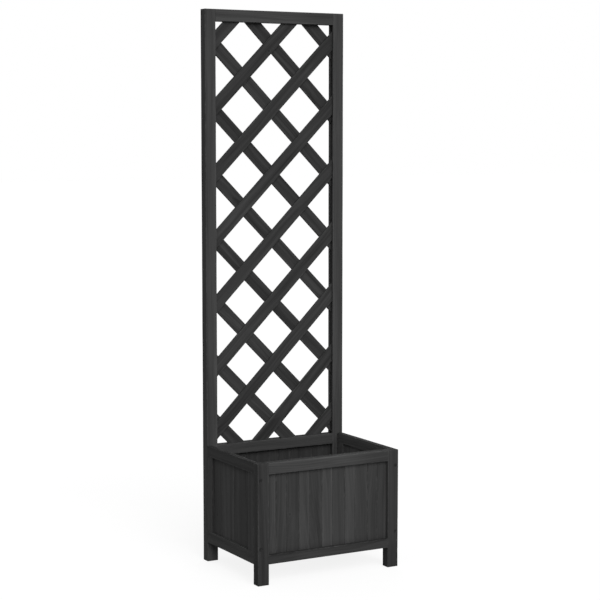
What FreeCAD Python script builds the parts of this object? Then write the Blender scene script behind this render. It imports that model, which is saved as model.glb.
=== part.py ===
"""Planter with trellis: a framed wooden box on four legs, whose two back legs run up
as the posts of a diagonal lattice.

Millimetres. +Z is up, the front faces -Y and +X is to the right of someone looking at the
front. The origin is on the ground, under the middle of the 400 x 300 footprint.
"""
import FreeCAD, Part
import os

Vector = FreeCAD.Vector

# Overall size
WIDTH = 400.0
DEPTH = 300.0
HEIGHT = 1400.0
PLANTER_HEIGHT = 300.0

# Posts and legs: upright timbers of one section
POST_WIDTH = 30.0
POST_DEPTH = 24.0
EDGE_EASE = 1.5

# Rails of the front and back frames, as deep as the posts
UPPER_RAIL_HEIGHT = 27.5
LOWER_RAIL_HEIGHT = 23.0
LOWER_RAIL_GAP = 51.0
TRELLIS_RAIL_HEIGHT = 30.0

# Side frames, which stand between a front leg and a back post
SIDE_THICKNESS = 15.0
SIDE_UPPER_RAIL_HEIGHT = 26.0
SIDE_LOWER_RAIL_HEIGHT = 30.0
SIDE_GAP = 50.0
STILE_WIDTH = 28.0

# Tongue-and-groove panel boards
BOARD_THICKNESS = 6.0
BOARD_PITCH = 65.0
BOARD_SET_BACK_FRONT = 10.0
BOARD_SET_BACK_INSIDE = 12.0
BOARD_SET_BACK_SIDE = 5.5
FRONT_FIRST_SEAM = -145.5
SIDE_LAST_SEAM = 53.0
BOARD_BEAD = 29.0
BEAD_DEPTH = 0.8
SEAM_CHAMFER = 1.0
TONGUE_LENGTH = 3.0
TONGUE_THICKNESS = 2.0
GROOVE_DEPTH = 6.0
EDGE_ENTRY = 5.0
TENON_MARGIN = 6.0

# Lattice: two layers of slats at 45 degrees, the rising layer in front
SLAT_WIDTH = 32.5
SLAT_THICKNESS = 6.0
SLAT_EASE = 0.8
SLAT_COUNT = 9
SLAT_SET_BACK = 6.0
SLAT_END_ENTRY = 5.0
EVEN_STEPS = 3
RISING_TOP = 1491.5
RISING_PITCH = 166.0
RISING_CLOSING = 0.95
FALLING_TOP = 1477.0
FALLING_PITCH = 165.2
FALLING_CLOSING = 1.4

# Base: boards with drainage gaps, lying on two cleats
CLEAT_SIZE = 15.0
BASE_THICKNESS = 10.0
BASE_BOARD_COUNT = 4
BASE_BOARD_GAP = 6.0
BASE_CLEARANCE = 1.0

# Fasteners
SCREW_HEIGHTS = (90.0, 260.0)
SCREW_FROM_SIDE = 8.0
SCREW_LENGTH = 40.0
SCREW_RADIUS = 2.0
SCREW_HEAD_RADIUS = 4.0
SCREW_HEAD_DEPTH = 3.0
SCREW_TIP = 5.0
SCREW_SUNK = 0.4
SCREW_SLOT = (5.0, 1.0, 1.4)
BRAD_RADIUS = 0.7
BRAD_HEAD_RADIUS = 1.4
BRAD_HEAD_DEPTH = 0.6
LATTICE_BRAD_LENGTH = 10.0
LATTICE_BRAD_MARGIN = 12.0
BASE_BRAD_LENGTH = 22.0
CLEAT_BRAD_COUNT = 3

# Places worked out from the sizes above
LEFT = -WIDTH / 2
RIGHT = WIDTH / 2
FRONT = -DEPTH / 2
BACK = DEPTH / 2
OPENING = WIDTH / 2 - POST_WIDTH
FRAME_FRONT = FRONT + POST_DEPTH
FRAME_BACK = BACK - POST_DEPTH
LOWER_RAIL_TOP = LOWER_RAIL_GAP + LOWER_RAIL_HEIGHT
UPPER_RAIL_LOW = PLANTER_HEIGHT - UPPER_RAIL_HEIGHT
TRELLIS_LOW = PLANTER_HEIGHT
TRELLIS_HIGH = HEIGHT - TRELLIS_RAIL_HEIGHT
SIDE_LOWER_TOP = SIDE_GAP + SIDE_LOWER_RAIL_HEIGHT
SIDE_UPPER_LOW = PLANTER_HEIGHT - SIDE_UPPER_RAIL_HEIGHT
FRONT_BOARD_Y = FRONT + BOARD_SET_BACK_FRONT
BACK_BOARD_Y = FRAME_BACK + BOARD_SET_BACK_INSIDE
RISING_Y = FRAME_BACK + SLAT_SET_BACK
FALLING_Y = RISING_Y + SLAT_THICKNESS
LATTICE_BACK = FALLING_Y + SLAT_THICKNESS
BASE_LOW = SIDE_GAP + CLEAT_SIZE
BASE_TOP = BASE_LOW + BASE_THICKNESS

X_AXIS = Vector(1, 0, 0)
Y_AXIS = Vector(0, 1, 0)
Z_AXIS = Vector(0, 0, 1)


def save(name, solids):
    """Write one sub-part; several solids share a node only where they are alike."""
    shape = solids[0] if len(solids) == 1 else Part.makeCompound(solids)
    shape.exportStep("parts/" + name + ".step")


def block(low, high):
    """A plain box between two corners."""
    low = Vector(*low)
    size = Vector(*high) - low
    return Part.makeBox(size.x, size.y, size.z, low)


def timber(low, high, along, ease=EDGE_EASE):
    """A box whose four edges along the grain are rounded by the plane."""
    solid = block(low, high)
    edges = [edge for edge in solid.Edges if abs(edge.tangentAt(0).dot(along)) > 0.99]
    return solid.makeFillet(ease, edges)


def between(side, inner, outer):
    """The two x values of a piece on one side, in rising order (side is -1 or 1)."""
    return sorted((side * inner, side * outer))


# Frame timbers

def post_grooves(side, board_y, top_tenon_high):
    """Slot in a post's inner face: it takes the board edges and the rails' tenons."""
    x_low, x_high = between(side, OPENING, OPENING + GROOVE_DEPTH)
    return block(
        (x_low, board_y, LOWER_RAIL_GAP + TENON_MARGIN),
        (x_high, board_y + BOARD_THICKNESS, top_tenon_high),
    )


def front_leg(side, screws):
    """Short upright at a front corner, level with the rim of the planter."""
    x_low, x_high = between(side, OPENING, WIDTH / 2)
    leg = timber((x_low, FRONT, 0), (x_high, FRAME_FRONT, PLANTER_HEIGHT), Z_AXIS)
    groove = post_grooves(side, FRONT_BOARD_Y, PLANTER_HEIGHT - TENON_MARGIN)
    return leg.cut([groove] + screws)


def back_post(side, screws):
    """Tall upright at a back corner, with a second, wider slot for the lattice."""
    x_low, x_high = between(side, OPENING, WIDTH / 2)
    post = timber((x_low, FRAME_BACK, 0), (x_high, BACK, HEIGHT), Z_AXIS)
    groove = post_grooves(side, BACK_BOARD_Y, PLANTER_HEIGHT - GROOVE_DEPTH)
    x_low, x_high = between(side, OPENING, OPENING + GROOVE_DEPTH)
    lattice_slot = block(
        (x_low, RISING_Y, TRELLIS_LOW - GROOVE_DEPTH),
        (x_high, LATTICE_BACK, HEIGHT - TENON_MARGIN),
    )
    return post.cut([groove, lattice_slot] + screws)


def cross_rail(y_low, z_low, z_high, tenon, grooves):
    """Rail between two uprights.

    tenon is (y low, y high, z low, z high); each groove is the same for a slot that runs
    the length of the rail.
    """
    rail = timber((-OPENING, y_low, z_low), (OPENING, y_low + POST_DEPTH, z_high), X_AXIS)
    reach = OPENING + GROOVE_DEPTH
    y0, y1, z0, z1 = tenon
    rail = rail.fuse(block((-reach, y0, z0), (reach, y1, z1)))
    slots = [block((-reach, a, c), (reach, b, d)) for a, b, c, d in grooves]
    return rail.cut(slots).removeSplitter()


def lower_rail(y_low, board_y):
    """Bottom rail of the front or back frame, slotted on top for the boards."""
    board_back = board_y + BOARD_THICKNESS
    slot_low = LOWER_RAIL_TOP - GROOVE_DEPTH
    tenon = (board_y, board_back, LOWER_RAIL_GAP + TENON_MARGIN, slot_low)
    slot = (board_y, board_back, slot_low, LOWER_RAIL_TOP)
    return cross_rail(y_low, LOWER_RAIL_GAP, LOWER_RAIL_TOP, tenon, [slot])


def front_top_rail():
    """Rim rail of the front frame, slotted below for the boards."""
    board_back = FRONT_BOARD_Y + BOARD_THICKNESS
    slot_high = UPPER_RAIL_LOW + GROOVE_DEPTH
    tenon = (FRONT_BOARD_Y, board_back, slot_high, PLANTER_HEIGHT - TENON_MARGIN)
    slot = (FRONT_BOARD_Y, board_back, UPPER_RAIL_LOW, slot_high)
    return cross_rail(FRONT, UPPER_RAIL_LOW, PLANTER_HEIGHT, tenon, [slot])


def trellis_lower_rail():
    """Rail shared by the planter's back, below it, and the lattice, above it."""
    board_back = BACK_BOARD_Y + BOARD_THICKNESS
    board_slot_high = UPPER_RAIL_LOW + GROOVE_DEPTH
    lattice_slot_low = TRELLIS_LOW - GROOVE_DEPTH
    tenon = (BACK_BOARD_Y, board_back, board_slot_high, lattice_slot_low)
    board_slot = (BACK_BOARD_Y, board_back, UPPER_RAIL_LOW, board_slot_high)
    lattice_slot = (RISING_Y, LATTICE_BACK, lattice_slot_low, TRELLIS_LOW)
    slots = [board_slot, lattice_slot]
    return cross_rail(FRAME_BACK, UPPER_RAIL_LOW, PLANTER_HEIGHT, tenon, slots)


def trellis_top_rail():
    """Rail across the top of the two posts, slotted below for the lattice."""
    slot_high = TRELLIS_HIGH + GROOVE_DEPTH
    tenon = (RISING_Y, LATTICE_BACK, slot_high, HEIGHT - TENON_MARGIN)
    slot = (RISING_Y, LATTICE_BACK, TRELLIS_HIGH, slot_high)
    return cross_rail(FRAME_BACK, TRELLIS_HIGH, HEIGHT, tenon, [slot])


# Side frames

def side_slot(side):
    """The x values of the slot that runs round the inside of a side frame."""
    outer = WIDTH / 2 - BOARD_SET_BACK_SIDE
    return between(side, outer - BOARD_THICKNESS, outer)


def side_rail(side, z_low, z_high, slot_low, cuts):
    """Rail from a leg to a post, slotted for the boards and the stiles' stub tenons."""
    x_low, x_high = between(side, WIDTH / 2 - SIDE_THICKNESS, WIDTH / 2)
    rail = timber((x_low, FRAME_FRONT, z_low), (x_high, FRAME_BACK, z_high), Y_AXIS)
    slot_x = side_slot(side)
    slot = block(
        (slot_x[0], FRAME_FRONT, slot_low),
        (slot_x[1], FRAME_BACK, slot_low + GROOVE_DEPTH),
    )
    return rail.cut([slot] + cuts)


def side_stile(side, y_outer, inward, screws):
    """Upright of a side frame between its rails; inward points at the boards (-1 or 1)."""
    x_low, x_high = between(side, WIDTH / 2 - SIDE_THICKNESS, WIDTH / 2)
    y_inner = y_outer + inward * STILE_WIDTH
    y_low, y_high = sorted((y_outer, y_inner))
    stile = timber((x_low, y_low, SIDE_LOWER_TOP), (x_high, y_high, SIDE_UPPER_LOW), Z_AXIS)
    slot_x = side_slot(side)
    y_shoulder = y_inner - inward * GROOVE_DEPTH
    tenon_y = sorted((y_outer, y_shoulder))
    tenon_low = SIDE_LOWER_TOP - GROOVE_DEPTH
    tenon_high = SIDE_UPPER_LOW + GROOVE_DEPTH
    tenon = block((slot_x[0], tenon_y[0], tenon_low), (slot_x[1], tenon_y[1], tenon_high))
    slot_y = sorted((y_inner, y_shoulder))
    slot = block((slot_x[0], slot_y[0], tenon_low), (slot_x[1], slot_y[1], tenon_high))
    return stile.fuse(tenon).cut([slot] + screws).removeSplitter()


# Panel boards

def board_outline(low, high, grooved, tongued, beaded):
    """Section of one board: (along the panel, through the panel) points.

    Both faces have a small chamfer at each seam and, where beaded, a V line along the
    board. The tongue is on the high edge and its groove on the low edge.
    """
    face = BOARD_THICKNESS
    tongue_low = (face - TONGUE_THICKNESS) / 2
    tongue_high = tongue_low + TONGUE_THICKNESS
    low_chamfer = SEAM_CHAMFER if grooved else 0.0
    high_chamfer = SEAM_CHAMFER if tongued else 0.0
    bead = low + BOARD_BEAD
    points = []
    if grooved:
        points += [(low, tongue_low), (low, low_chamfer)]
    points.append((low + low_chamfer, 0.0))
    if beaded:
        points += [(bead - BEAD_DEPTH, 0.0), (bead, BEAD_DEPTH), (bead + BEAD_DEPTH, 0.0)]
    points.append((high - high_chamfer, 0.0))
    if tongued:
        points += [
            (high, high_chamfer),
            (high, tongue_low),
            (high + TONGUE_LENGTH, tongue_low),
            (high + TONGUE_LENGTH, tongue_high),
            (high, tongue_high),
            (high, face - high_chamfer),
        ]
    points.append((high - high_chamfer, face))
    if beaded:
        points += [(bead + BEAD_DEPTH, face), (bead, face - BEAD_DEPTH), (bead - BEAD_DEPTH, face)]
    points.append((low + low_chamfer, face))
    if grooved:
        points += [
            (low, face - low_chamfer),
            (low, tongue_high),
            (low + TONGUE_LENGTH, tongue_high),
            (low + TONGUE_LENGTH, tongue_low),
        ]
    return points


def board(outline, place, z_low, z_high):
    """A board of one section; place turns a section point into x and y."""
    corners = [Vector(*place(along, through), z_low) for along, through in outline]
    section = Part.Face(Part.makePolygon(corners + corners[:1]))
    return section.extrude(Z_AXIS * (z_high - z_low))


def panel(name, low, high, seams, place, z_low, z_high, beaded):
    """All the boards of one panel, numbered from the low edge."""
    edges = [low] + seams + [high]
    for index in range(len(edges) - 1):
        grooved = index > 0
        tongued = index < len(edges) - 2
        wide = edges[index + 1] - edges[index] > BOARD_BEAD + EDGE_ENTRY
        outline = board_outline(
            edges[index], edges[index + 1], grooved, tongued, beaded and wide and grooved
        )
        save(name + "_" + str(index + 1), [board(outline, place, z_low, z_high)])


def long_panels():
    """Boards of the front frame and of the planter's back."""
    edge = OPENING + EDGE_ENTRY
    count = int((edge - FRONT_FIRST_SEAM) // BOARD_PITCH) + 1
    seams = [FRONT_FIRST_SEAM + BOARD_PITCH * step for step in range(count)]
    z_low = LOWER_RAIL_TOP - GROOVE_DEPTH
    z_high = UPPER_RAIL_LOW + GROOVE_DEPTH
    for name, face_y in (("front_board", FRONT_BOARD_Y), ("back_board", BACK_BOARD_Y)):
        def place(along, through, face_y=face_y):
            return along, face_y + through
        panel(name, -edge, edge, seams, place, z_low, z_high, beaded=True)


def side_panels():
    """Boards of the two side frames, mirrored."""
    low = FRAME_FRONT + STILE_WIDTH - EDGE_ENTRY
    high = FRAME_BACK - STILE_WIDTH + EDGE_ENTRY
    seams = [SIDE_LAST_SEAM - BOARD_PITCH * step for step in (2, 1, 0)]
    z_low = SIDE_LOWER_TOP - GROOVE_DEPTH
    z_high = SIDE_UPPER_LOW + GROOVE_DEPTH
    face_x = WIDTH / 2 - BOARD_SET_BACK_SIDE
    for name, side in (("left_board", -1), ("right_board", 1)):
        def place(along, through, side=side):
            return side * (face_x - through), along
        panel(name, low, high, seams, place, z_low, z_high, beaded=False)


# Lattice

def slat_heights(top, pitch, closing):
    """Heights at which a layer's centre lines cross the trellis's upright middle line.

    The first slats stand one pitch apart; below them each gap closes up a little more.
    """
    heights = []
    for step in range(SLAT_COUNT):
        crowded = max(0, step - EVEN_STEPS)
        heights.append(top - pitch * step + closing * crowded ** 2)
    return heights


def slat(height, y_low, angle):
    """One slat, turned about Y and trimmed where its ends enter the slots."""
    half = HEIGHT / 2
    bar = timber(
        (-half, y_low, -SLAT_WIDTH / 2),
        (half, y_low + SLAT_THICKNESS, SLAT_WIDTH / 2),
        X_AXIS,
        SLAT_EASE,
    )
    bar.rotate(Vector(0, 0, 0), Y_AXIS, angle)
    bar.translate(Vector(0, 0, height))
    reach = OPENING + SLAT_END_ENTRY
    room = block(
        (-reach, y_low, TRELLIS_LOW - SLAT_END_ENTRY),
        (reach, y_low + SLAT_THICKNESS, TRELLIS_HIGH + SLAT_END_ENTRY),
    )
    return bar.common(room)


def crossings(rising, falling):
    """Points (x, z) where a rising and a falling slat cross inside the frame."""
    points = []
    for up in rising:
        for down in falling:
            x = (down - up) / 2
            z = (down + up) / 2
            inside_x = abs(x) < OPENING - LATTICE_BRAD_MARGIN
            margin = LATTICE_BRAD_MARGIN
            inside_z = TRELLIS_LOW + margin < z < TRELLIS_HIGH - margin
            if inside_x and inside_z:
                points.append((x, z))
    return points


def lattice():
    """Both layers of slats, pinned together from behind at every crossing."""
    rising = slat_heights(RISING_TOP, RISING_PITCH, RISING_CLOSING)
    falling = slat_heights(FALLING_TOP, FALLING_PITCH, FALLING_CLOSING)
    brads = [
        brad(Vector(x, LATTICE_BACK, z), -Y_AXIS, LATTICE_BRAD_LENGTH)
        for x, z in crossings(rising, falling)
    ]
    for index in range(SLAT_COUNT):
        number = str(index + 1)
        save("rising_slat_" + number, [slat(rising[index], RISING_Y, -45).cut(brads)])
        save("falling_slat_" + number, [slat(falling[index], FALLING_Y, 45).cut(brads)])
    save("lattice_brads", brads)


# Fasteners

def brad(head, direction, length):
    """A flat-headed nail, its head level with the surface at the point head."""
    top = Part.makeCylinder(BRAD_HEAD_RADIUS, BRAD_HEAD_DEPTH, head, direction)
    shank = Part.makeCylinder(BRAD_RADIUS, length, head, direction)
    return top.fuse(shank).removeSplitter()


def screw_body(head, direction):
    """Countersunk screw as a turned solid, its flat head just below the surface."""
    start = head + direction * SCREW_SUNK
    cone = Part.makeCone(SCREW_HEAD_RADIUS, SCREW_RADIUS, SCREW_HEAD_DEPTH, start, direction)
    shank_length = SCREW_LENGTH - SCREW_HEAD_DEPTH - SCREW_TIP
    neck = start + direction * SCREW_HEAD_DEPTH
    shank = Part.makeCylinder(SCREW_RADIUS, shank_length, neck, direction)
    tip_start = neck + direction * shank_length
    tip = Part.makeCone(SCREW_RADIUS, 0, SCREW_TIP, tip_start, direction)
    return cone.fuse([shank, tip]).removeSplitter()


def screw_slots(head, direction):
    """The cross cut into a screw's head."""
    length, width, depth = SCREW_SLOT
    centre = head + direction * (SCREW_SUNK + depth / 2)
    flat = block((-length / 2, -depth / 2, -width / 2), (length / 2, depth / 2, width / 2))
    upright = block((-width / 2, -depth / 2, -length / 2), (width / 2, depth / 2, length / 2))
    cross = flat.fuse(upright)
    cross.translate(centre)
    return cross


def screw_hole(head, direction):
    """The space a screw takes, open to the surface above its sunk head."""
    mouth = Part.makeCylinder(SCREW_HEAD_RADIUS, SCREW_SUNK, head, direction)
    return screw_body(head, direction).fuse(mouth)


def frame_screw_places():
    """Head point and direction of each screw, by side and by front or back."""
    places = {}
    for side in (-1, 1):
        x = side * (WIDTH / 2 - SCREW_FROM_SIDE)
        places[side, "front"] = [(Vector(x, FRONT, z), Y_AXIS) for z in SCREW_HEIGHTS]
        places[side, "back"] = [(Vector(x, BACK, z), -Y_AXIS) for z in SCREW_HEIGHTS]
    return places


# Base

def base_brad_places(cleat_y):
    """Head point and direction of the brads that hold the base boards and the cleats."""
    places = []
    cleat_x = WIDTH / 2 - SIDE_THICKNESS - CLEAT_SIZE / 2
    cleat_face = WIDTH / 2 - SIDE_THICKNESS - CLEAT_SIZE
    for side in (-1, 1):
        for low, high in base_board_edges():
            middle = (low + high) / 2
            places.append((Vector(side * cleat_x, middle, BASE_TOP), -Z_AXIS))
        for y in cleat_y:
            head = Vector(side * cleat_face, y, SIDE_GAP + CLEAT_SIZE / 2)
            places.append((head, X_AXIS * side))
    return places


def base_board_edges():
    """Front and back edge of each base board, with equal gaps between them."""
    room = FRAME_BACK - FRAME_FRONT - 2 * BASE_CLEARANCE
    width = (room - BASE_BOARD_GAP * (BASE_BOARD_COUNT - 1)) / BASE_BOARD_COUNT
    step = width + BASE_BOARD_GAP
    first = FRAME_FRONT + BASE_CLEARANCE
    return [(first + step * n, first + step * n + width) for n in range(BASE_BOARD_COUNT)]


def base(brads):
    """Two cleats along the side rails and the boards that lie across them."""
    inner = WIDTH / 2 - SIDE_THICKNESS
    cleats = []
    for side in (-1, 1):
        x_low, x_high = between(side, inner - CLEAT_SIZE, inner)
        low = (x_low, FRAME_FRONT, SIDE_GAP)
        high = (x_high, FRAME_BACK, BASE_LOW)
        cleats.append(timber(low, high, Y_AXIS).cut(brads))
    save("base_cleats", cleats)
    reach = inner - BASE_CLEARANCE
    boards = []
    for y_low, y_high in base_board_edges():
        plank = timber((-reach, y_low, BASE_LOW), (reach, y_high, BASE_TOP), X_AXIS)
        boards.append(plank.cut(brads))
    save("base_boards", boards)
    save("base_brads", brads)


def main():
    os.makedirs("parts", exist_ok=True)

    screw_places = frame_screw_places()
    holes = {key: [screw_hole(*spot) for spot in spots] for key, spots in screw_places.items()}
    screws = []
    for spots in screw_places.values():
        screws += [screw_body(*spot).cut(screw_slots(*spot)) for spot in spots]
    save("frame_screws", screws)

    quarter = (FRAME_BACK - FRAME_FRONT) / 4
    cleat_y = [quarter * (n - (CLEAT_BRAD_COUNT - 1) / 2) for n in range(CLEAT_BRAD_COUNT)]
    base_brads = [brad(*spot, BASE_BRAD_LENGTH) for spot in base_brad_places(cleat_y)]

    for name, side in (("left", -1), ("right", 1)):
        save("front_leg_" + name, [front_leg(side, holes[side, "front"])])
        save("back_post_" + name, [back_post(side, holes[side, "back"])])
        top = side_rail(side, SIDE_UPPER_LOW, PLANTER_HEIGHT, SIDE_UPPER_LOW, [])
        low_slot = SIDE_LOWER_TOP - GROOVE_DEPTH
        bottom = side_rail(side, SIDE_GAP, SIDE_LOWER_TOP, low_slot, base_brads)
        save("side_top_rail_" + name, [top])
        save("side_bottom_rail_" + name, [bottom])
        front_stile = side_stile(side, FRAME_FRONT, 1, holes[side, "front"])
        back_stile = side_stile(side, FRAME_BACK, -1, holes[side, "back"])
        save("side_front_stile_" + name, [front_stile])
        save("side_back_stile_" + name, [back_stile])

    save("front_bottom_rail", [lower_rail(FRONT, FRONT_BOARD_Y)])
    save("back_bottom_rail", [lower_rail(FRAME_BACK, BACK_BOARD_Y)])
    save("front_top_rail", [front_top_rail()])
    save("trellis_lower_rail", [trellis_lower_rail()])
    save("trellis_top_rail", [trellis_top_rail()])

    long_panels()
    side_panels()
    lattice()
    base(base_brads)


main()
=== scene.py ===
"""Planter with trellis: the finish of every timber, board, slat and fastener.

Metres, in the frame's own axes: +Z is up, the front faces -Y and +X is to the right.
Every wooden piece is a surface worked out with numpy round the box of the part it stands
for: a section outline carried along the grain, its corners worn unevenly and its faces
brushed down between the growth rings. The fasteners keep their own shapes.
"""
import math

import bpy
import numpy as np
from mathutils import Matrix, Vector


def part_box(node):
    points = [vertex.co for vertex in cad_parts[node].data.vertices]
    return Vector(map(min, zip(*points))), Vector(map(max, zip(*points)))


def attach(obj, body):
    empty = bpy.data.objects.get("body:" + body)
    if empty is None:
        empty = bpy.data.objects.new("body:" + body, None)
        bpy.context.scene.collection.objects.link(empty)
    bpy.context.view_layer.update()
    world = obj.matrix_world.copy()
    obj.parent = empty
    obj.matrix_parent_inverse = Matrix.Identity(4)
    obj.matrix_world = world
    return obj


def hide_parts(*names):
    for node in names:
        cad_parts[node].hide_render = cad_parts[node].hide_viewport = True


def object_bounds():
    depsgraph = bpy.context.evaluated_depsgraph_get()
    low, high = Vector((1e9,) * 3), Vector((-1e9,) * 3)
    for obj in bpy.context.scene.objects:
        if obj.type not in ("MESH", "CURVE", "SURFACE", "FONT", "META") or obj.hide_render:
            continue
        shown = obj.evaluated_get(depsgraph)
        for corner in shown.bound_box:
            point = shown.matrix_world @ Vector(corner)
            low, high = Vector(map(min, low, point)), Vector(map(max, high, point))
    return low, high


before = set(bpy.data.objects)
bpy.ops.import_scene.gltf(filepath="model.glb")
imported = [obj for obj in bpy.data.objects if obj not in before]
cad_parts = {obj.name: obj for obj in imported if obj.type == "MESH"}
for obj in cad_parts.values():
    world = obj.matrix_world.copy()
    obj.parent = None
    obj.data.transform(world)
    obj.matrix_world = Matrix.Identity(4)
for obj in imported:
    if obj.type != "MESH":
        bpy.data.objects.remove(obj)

cad_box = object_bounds()
MM = 0.001

# Photograph's viewpoint: angles in degrees, lens in millimetres
CAMERA_PLACE = (-2.0673, -3.6820, 1.1010)
CAMERA_TURN = 29.317
CAMERA_DIP = 5.765
CAMERA_LENS = 101.24

# How far each kind of edge is eased
EASE = 0.9 * MM
SLAT_EASE = 0.5 * MM
SLAT_END_EASE = 0.3 * MM
BUTT_EASE = 0.35 * MM
SAWN_END_EASE = 1.2 * MM
SLOT_LIP_EASE = 0.3 * MM
SLOT_CORNER_EASE = 0.2 * MM
SEAM_EASE = 0.3 * MM
TONGUE_EASE = 0.12 * MM

# Sections, the screws' places and how many pieces repeat
GROOVE_DEPTH = 6 * MM
TONGUE_LENGTH = 3 * MM
TONGUE_THICKNESS = 2 * MM
SEAM_CHAMFER = 1 * MM
BEAD_PLACE = 29 * MM
BEAD_DEPTH = 0.8 * MM
BEAD_ROOM = 5 * MM
SCREW_HEIGHTS = (90 * MM, 260 * MM)
SCREW_FROM_SIDE = 8 * MM
SCREW_MOUTH = 4.05 * MM
SCREW_MOUTH_WALL = 0.5 * MM
SCREW_MOUTH_DEPTH = 2.0 * MM
HOLED_FACE_TURN = 0.9
BASE_BOARDS = 4
BASE_GAP = 6 * MM
STOPPED_DEPTH = 0.02 * MM
SLATS = 9
FRONT_BOARDS = 6
SIDE_BOARDS = 4

# How finely the surfaces are worked out, and the fold past which shading breaks
FACE_STEP = 0.8 * MM
FINE_STEP = 0.6 * MM
LENGTH_STEP = 7 * MM
ARC_STEPS = 5
END_STEPS = 4
MOUTH_STATIONS = 19
BESIDE_STOP = 0.01 * MM
SHARP_FOLD = math.radians(50)

# The tree: where in a ring the late wood starts, is full and starts to fade; how far off
# the pith is, in millimetres, and how far it wanders; how the trunk bulges; how fast the
# rings' radius grows along straight and along slanting grain; and how far apart, in metres,
# the pieces can lie along the grain
RING_SPACING = 3.4 * MM
LATE_STARTS, LATE_FULL, LATE_FADES = 0.30, 0.80, 0.90
PITH_AWAY = (45, 110)
PITH_DRIFT = 5 * MM
TRUNK_BULGE = 0.9 * MM
BULGE_LEAN = 0.04
STRAIGHT_GRAIN = (0.004, 0.009)
SLANTING_GRAIN = (0.010, 0.055)
GRAIN_STARTS = 20.0

# Planing, brushing and wear; the sizes of the knocks are in millimetres
BRUSHED_DEPTH = 0.10 * MM
PLANED_WAVE = 0.06 * MM
WAVE_SLANT = 3
EDGE_REACH = 1.2 * MM
UNEVEN_EASE = 0.35
MOST_KNOCKS = 2
KNOCK_SIZES = (2, 5)
KNOCK_DEPTH = 0.7
END_GRAIN_DARKER = 0.22

# Small knots: where each comes to the surface, in millimetres
KNOTS = {
    "front_board_2": (-107, -140, 164),
    "rising_slat_2": (-15, 132, 1303),
    "falling_slat_6": (60, 144, 520),
    "back_board_5": (96, 144, 205),
    "right_board_2": (194, -48, 190),
    "left_board_4": (-194, 80, 130),
    "trellis_lower_rail": (-70, 150, 287),
}


# Outlines

class Outline:
    """A closed outline in section coordinates (p, q), run anticlockwise.

    Each point is its place on the sharp outline plus (ease before) * before plus
    (ease after) * after: on a corner's arc that is centre + ease * direction, and on a
    straight run the points are evenly spaced between the two arcs' ends. So the ease of
    every corner can change along the piece and the points follow in one array sum.

    edge is how near a point is to an outer corner, and shown is the share of the brushing
    that it takes: none on the hidden sides, half on the arcs.
    """

    def __init__(self, corners, eases, hidden=(), step=FACE_STEP):
        corners = np.array(corners, float)
        self.eases = np.array(eases, float)
        count = len(corners)
        rows = []
        ahead = np.roll(corners, -1, 0) - corners
        lengths = np.linalg.norm(ahead, axis=1)
        ahead = ahead / lengths[:, None]
        back = -np.roll(ahead, 1, 0)
        half = np.arccos(np.clip((ahead * back).sum(1), -1, 1)) / 2
        convex = np.sign(ahead[:, 1] * back[:, 0] - ahead[:, 0] * back[:, 1])
        reach = 1 / np.tan(half)
        bisector = ahead + back
        bisector /= np.linalg.norm(bisector, axis=1)[:, None]
        centre = bisector / np.sin(half)[:, None]
        normal = np.stack([ahead[:, 1], -ahead[:, 0]], 1)
        for i in range(count):
            j = (i + 1) % count
            first = math.atan2(normal[i - 1, 1], normal[i - 1, 0])
            turn = (math.pi - 2 * half[i]) * -convex[i]
            angles = first + turn * np.linspace(0, 1, ARC_STEPS + 1)
            facing = np.stack([np.cos(angles), np.sin(angles)], 1)
            zero = np.zeros_like(facing)
            side = -convex[i]
            arc = centre[i] + side * facing
            edge = np.full(len(angles), 1.0 if side > 0 else 0.0)
            shown = np.full(len(angles), 0.0 if {i, (i - 1) % count} & set(hidden) else 0.5)
            rows.append((zero + corners[i], arc, zero, facing, edge, shown, i, i))
            runs = max(1, round(lengths[i] / step))
            share = np.arange(1, runs)[:, None] / runs
            base = corners[i] + share * lengths[i] * ahead[i]
            before = (1 - share) * reach[i] * ahead[i]
            after = share * reach[j] * back[j]
            facing = np.zeros_like(base) + normal[i]
            # An inner corner counts as far away: its share is divided by next to nothing
            near = np.minimum(share / max(side, 1e-3), (1 - share) / max(-convex[j], 1e-3))
            edge = np.exp(-near[:, 0] * lengths[i] / EDGE_REACH)
            shown = np.full(len(base), 0.0 if i in hidden else 1.0)
            rows.append((base, before, after, facing, edge, shown, i, j))
        self.base, self.before, self.after, self.facing = (
            np.concatenate([row[k] for row in rows]) for k in range(4)
        )
        self.edge, self.shown = (np.concatenate([row[k] for row in rows]) for k in (4, 5))
        self.corner_before, self.corner_after = (
            np.concatenate([np.full(len(row[0]), row[k]) for row in rows]) for k in (6, 7)
        )

    def carried(self, eases):
        """Points (stations, outline, 2) for eases given as (stations, corners)."""
        before = eases[:, self.corner_before, None] * self.before
        after = eases[:, self.corner_after, None] * self.after
        return self.base + before + after


def rectangle(p_low, p_high, q_low, q_high, ease, step=FACE_STEP):
    """Plain four-cornered section."""
    corners = [(p_low, q_low), (p_high, q_low), (p_high, q_high), (p_low, q_high)]
    return Outline(corners, [ease] * 4, step=step)


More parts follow.
